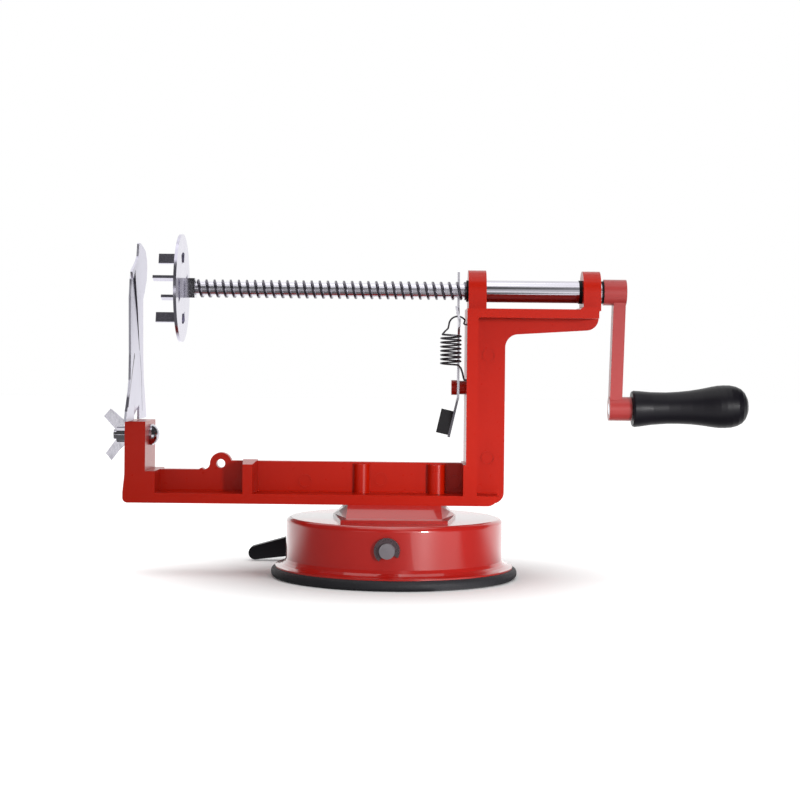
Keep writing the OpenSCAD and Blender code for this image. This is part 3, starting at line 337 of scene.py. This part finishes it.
edge_shade = painted_edge_shade(*painted_edge_lines[0])
for edge in painted_edge_lines[1:]:
    edge_shade = add_node(
        blade_tree,
        "ShaderNodeMath",
        settings={"operation": "MAXIMUM"},
        links={0: (edge_shade, 0), 1: (painted_edge_shade(*edge), 0)},
    )
# Lays the painted shade and dark reflection along the blade's cuts and bend.
lay_over(brushed_stainless, "54515B", (edge_shade, 0))


# Finish and edges of each piece

finishes = {
    "frame_casting": casting_enamel,
    "lever_stud": casting_enamel,
    "base_housing": housing_enamel,
    "crank_arm": crank_enamel_and_painted_sheen,
    "blade_plate": brushed_stainless,
    "fork_disc": rolled_stainless,
    "guide_tube": bright_nickel,
    "feed_screw": rolled_thread,
    "disc_nut": bright_nickel,
    "grip_spindle": bright_nickel,
    "blade_bolt": bright_nickel,
    "blade_washer": bright_nickel,
    "wing_nut": bright_nickel,
    "base_screws": bright_nickel,
    "suction_stem": bright_nickel,
    "suction_axle": satin_zinc,
    "axle_clip": blued_clip,
    "suction_lever_arm": satin_zinc,
    "release_lever": bright_strip,
    "release_spring": blackened_steel,
    "handle_grip": moulded_abs,
    "suction_lever_grip": moulded_abs,
    # The black of the bushes, the washer and the tab cover is partly painted shade and dark reflection.
    "front_bush": black_nylon_and_painted_shade,
    "rear_bush": black_nylon_and_painted_shade,
    "thrust_washer": black_nylon_and_painted_shade,
    "lever_tab_cover": black_nylon_and_painted_shade,
    "foot_ring": moulded_rubber,
    "suction_diaphragm": moulded_rubber,
}

# Edge roundings in mm: cast and moulded edges are round, sheet edges are only deburred.
edge_rounding = {
    "frame_casting": 0.6,
    "lever_stud": 0.35,
    "base_housing": 0.6,
    "crank_arm": 0.8,
    "blade_plate": 0.12,
    "fork_disc": 0.2,
    "guide_tube": 0.08,
    "disc_nut": 0.4,
    "blade_washer": 0.15,
    "wing_nut": 0.45,
    "blade_bolt": 0.2,
    "suction_stem": 0.2,
    "suction_axle": 0.3,
    "axle_clip": 0.15,
    "suction_lever_arm": 0.3,
    "suction_lever_grip": 0.9,
    "release_lever": 0.12,
    "lever_tab_cover": 0.5,
    "front_bush": 0.15,
    "rear_bush": 0.2,
    "thrust_washer": 0.15,
}
smooth_angle = math.radians(35)

for node_name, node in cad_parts.items():
    node.data.materials.clear()
    node.data.materials.append(finishes[node_name])
    node.data.shade_smooth()
    node.data.set_sharp_from_angle(angle=smooth_angle)
    if node_name in edge_rounding:
        rounding = node.modifiers.new("edge_rounding", "BEVEL")
        rounding.width = edge_rounding[node_name] * MM
        rounding.segments = 3
        rounding.limit_method = "ANGLE"
        rounding.angle_limit = smooth_angle
        rounding.use_clamp_overlap = True
        rounding.harden_normals = True


# Studio

# Photograph's camera: level, in front of the feed screw, framed low by a small shift.
camera_place = Vector((1.65, -690, 88)) * MM
focal_px = 1690
frame_px = 800
horizon_px = 360
sensor_mm = 36
roll = math.radians(0.6)
camera_data = bpy.data.cameras.new("photo_camera")
camera_data.sensor_width = sensor_mm
camera_data.lens = focal_px * sensor_mm / frame_px
camera_data.shift_y = (horizon_px - frame_px / 2) / frame_px
camera_data.clip_start = 0.05
camera_data.clip_end = 20
camera = bpy.data.objects.new("photo_camera", camera_data)
camera.location = camera_place
camera.rotation_euler = (math.radians(90), -roll, 0)
bpy.context.scene.collection.objects.link(camera)
bpy.context.scene.camera = camera


def softbox(name, place_mm, size_mm, watts, aim_mm, spread_degrees=180):
    """A rectangular studio lamp at place_mm, turned to face aim_mm; a grid narrows its spread."""
    lamp = bpy.data.lights.new(name, "AREA")
    lamp.shape = "RECTANGLE"
    lamp.size, lamp.size_y = size_mm[0] * MM, size_mm[1] * MM
    lamp.energy = watts
    lamp.spread = math.radians(spread_degrees)
    holder = bpy.data.objects.new(name, lamp)
    holder.location = Vector(place_mm) * MM
    holder.rotation_euler = (Vector(aim_mm) * MM - holder.location).to_track_quat("-Z", "Y").to_euler()
    bpy.context.scene.collection.objects.link(holder)


softbox("overhead_softbox", place_mm=(0, -150, 900), size_mm=(900, 700), watts=2.5, aim_mm=(0, 0, 70))
softbox(
    "key_softbox",
    place_mm=(560, -900, 130),
    size_mm=(140, 140),
    watts=0.115,
    aim_mm=(55, 0, 45),
    spread_degrees=17,
)

# Room: plain white for the camera, a soft level for matt surfaces, and for shiny ones a studio whose
# brightness is multiplied by every patch below that a mirrored ray meets.
matt_level = 0.58
room = bpy.data.worlds.new("white_studio")
room.use_nodes = True
bpy.context.scene.world = room
room_tree = room.node_tree
ray = add_node(room_tree, "ShaderNodeLightPath")
outwards = add_node(room_tree, "ShaderNodeTexCoord")


def room_patch(azimuth, elevation, edge_out, edge_in, level):
    """Brightness factor: 1 beyond edge_out degrees from a direction, level within edge_in degrees.

    The azimuth is in degrees from the camera's side, towards the crank.
    """
    a, e = math.radians(azimuth), math.radians(elevation)
    direction = (math.sin(a) * math.cos(e), -math.cos(a) * math.cos(e), math.sin(e))
    nearness = add_node(
        room_tree,
        "ShaderNodeVectorMath",
        settings={"operation": "DOT_PRODUCT"},
        inputs={1: direction},
        links={0: (outwards, "Generated")},
    )
    return add_node(
        room_tree,
        "ShaderNodeMapRange",
        settings={"interpolation_type": "SMOOTHSTEP"},
        inputs={
            "From Min": math.cos(math.radians(edge_out)),
            "From Max": math.cos(math.radians(edge_in)),
            "To Min": 1.0,
            "To Max": level,
        },
        links={"Value": (nearness, "Value")},
    )


mirrored = room_patch(0, 0, 72, 40, 0.9)  # the studio's front, a little dimmer
for patch in (
    room_patch(180, 0, 75, 50, 1.2),  # white rear wall
    room_patch(0, 90, 50, 30, 1.3),  # bright ceiling
    room_patch(-80, 38, 52, 42, 0.05),  # black flag high on the left
    room_patch(80, 38, 52, 42, 0.05),  # and one on the right
    room_patch(-20, 31, 28, 21, 0.12),  # black flag over the camera: the dark streak along the tube
    room_patch(-9, 1, 11, 8, 0.05),  # dark place beside the camera, which prongs and sheet edges mirror
):
    mirrored = add_node(
        room_tree,
        "ShaderNodeMath",
        settings={"operation": "MULTIPLY"},
        links={0: (mirrored, 0), 1: (patch, 0)},
    )
by_ray = add_node(
    room_tree,
    "ShaderNodeMix",
    settings={"data_type": "FLOAT"},
    inputs={"A": matt_level},
    links={"Factor": (ray, "Is Glossy Ray"), "B": (mirrored, 0)},
)
straight = add_node(
    room_tree,
    "ShaderNodeMath",
    settings={"operation": "MAXIMUM"},
    links={0: (ray, "Is Camera Ray"), 1: (ray, "Is Transmission Ray")},
)
room_strength = add_node(
    room_tree,
    "ShaderNodeMix",
    settings={"data_type": "FLOAT"},
    inputs={"B": 1.0},
    links={"Factor": (straight, 0), "A": (by_ray, "Result")},
)
background = room_tree.nodes["Background"]
background.inputs["Color"].default_value = linear("FFFFFF")
room_tree.links.new(room_strength.outputs["Result"], background.inputs["Strength"])

# Pale table: white under the studio light, with the object's soft shadow kept.
table_half = 3.0
table_mesh = bmesh.new()
for corner in ((-1, -1), (1, -1), (1, 1), (-1, 1)):
    table_mesh.verts.new((corner[0] * table_half, corner[1] * table_half, 0))
table_mesh.faces.new(table_mesh.verts)
table_data = bpy.data.meshes.new("studio_table")
table_mesh.to_mesh(table_data)
table_mesh.free()
table = bpy.data.objects.new("studio_table", table_data)
bpy.context.scene.collection.objects.link(table)
paper, paper_tree, paper_shader = new_material("white_studio_paper")
table_data.materials.append(paper)
paper_shader.inputs["Base Color"].default_value = linear("F4F4F4")
paper_shader.inputs["Roughness"].default_value = 0.9
paper_ray = add_node(paper_tree, "ShaderNodeLightPath")
spot = add_node(paper_tree, "ShaderNodeNewGeometry")

# For the camera the paper is lifted to white, less so near the foot, where its shadow has to show.
lift_start = 55 * MM
lift_end = 110 * MM
lift_level = 0.55
from_foot = add_node(
    paper_tree, "ShaderNodeVectorMath", settings={"operation": "LENGTH"}, links={0: (spot, "Position")}
)
white_lift = add_node(
    paper_tree,
    "ShaderNodeMapRange",
    inputs={"From Min": lift_start, "From Max": lift_end, "To Min": 0.0, "To Max": lift_level},
    links={"Value": (from_foot, "Value")},
)
paper_lift = add_node(
    paper_tree,
    "ShaderNodeMath",
    settings={"operation": "MULTIPLY"},
    links={0: (paper_ray, "Is Camera Ray"), 1: (white_lift, 0)},
)
paper_shader.inputs["Emission Color"].default_value = linear("FFFFFF")
paper_tree.links.new(paper_lift.outputs["Value"], paper_shader.inputs["Emission Strength"])


def table_ramp(azimuth, start_mm, end_mm, low, high):
    """A value that goes from low to high between two distances from the foot's middle.

    The distances run along a heading on the table, in degrees from +X, the crank's side, towards the back.
    """
    a = math.radians(azimuth)
    distance = add_node(
        paper_tree,
        "ShaderNodeVectorMath",
        settings={"operation": "DOT_PRODUCT"},
        inputs={1: (math.cos(a), math.sin(a), 0)},
        links={0: (spot, "Position")},
    )
    return add_node(
        paper_tree,
        "ShaderNodeMapRange",
        settings={"interpolation_type": "SMOOTHSTEP"},
        inputs={"From Min": start_mm * MM, "From Max": end_mm * MM, "To Min": low, "To Max": high},
        links={"Value": (distance, "Value")},
    )


# What the enamel mirrors of the table: dark in front of the foot and white far in front, white behind it,
# and one bright window to the front right, whose sharp side lies 15 degrees and soft side 72 degrees
# from the front.
window_level = 1.3
window_start = table_ramp(15, 0, 6, 0, 1)
window_end = table_ramp(180 + 72, 0, 40, 0, 1)
window = add_node(
    paper_tree,
    "ShaderNodeMath",
    settings={"operation": "MULTIPLY"},
    links={0: (window_start, 0), 1: (window_end, 0)},
)
mirror_level = add_node(
    paper_tree,
    "ShaderNodeMath",
    settings={"operation": "MULTIPLY"},
    inputs={1: window_level},
    links={0: (window, 0)},
)
for region in (
    table_ramp(90, -15, 90, 0.18, 1.4),  # behind
    table_ramp(-90, 450, 750, 0, 1.7),  # far in front
):
    mirror_level = add_node(
        paper_tree,
        "ShaderNodeMath",
        settings={"operation": "MAXIMUM"},
        links={0: (mirror_level, 0), 1: (region, 0)},
    )
mirror_glow = add_node(paper_tree, "ShaderNodeEmission", links={"Strength": (mirror_level, 0)})
by_sight = add_node(
    paper_tree,
    "ShaderNodeMixShader",
    links={0: (paper_ray, "Is Glossy Ray"), 1: (paper_shader, "BSDF"), 2: (mirror_glow, "Emission")},
)
paper_out = paper_tree.nodes["Material Output"]
paper_tree.links.new(by_sight.outputs["Shader"], paper_out.inputs["Surface"])

bpy.context.scene.view_settings.view_transform = "Standard"
# Two lamps need no light tree, and with it the narrow key light leaves sparks on the lugs' tops. Bright
# bounces are capped for the same reason.
bpy.context.scene.cycles.use_light_tree = False
bpy.context.scene.cycles.sample_clamp_indirect = 2.0
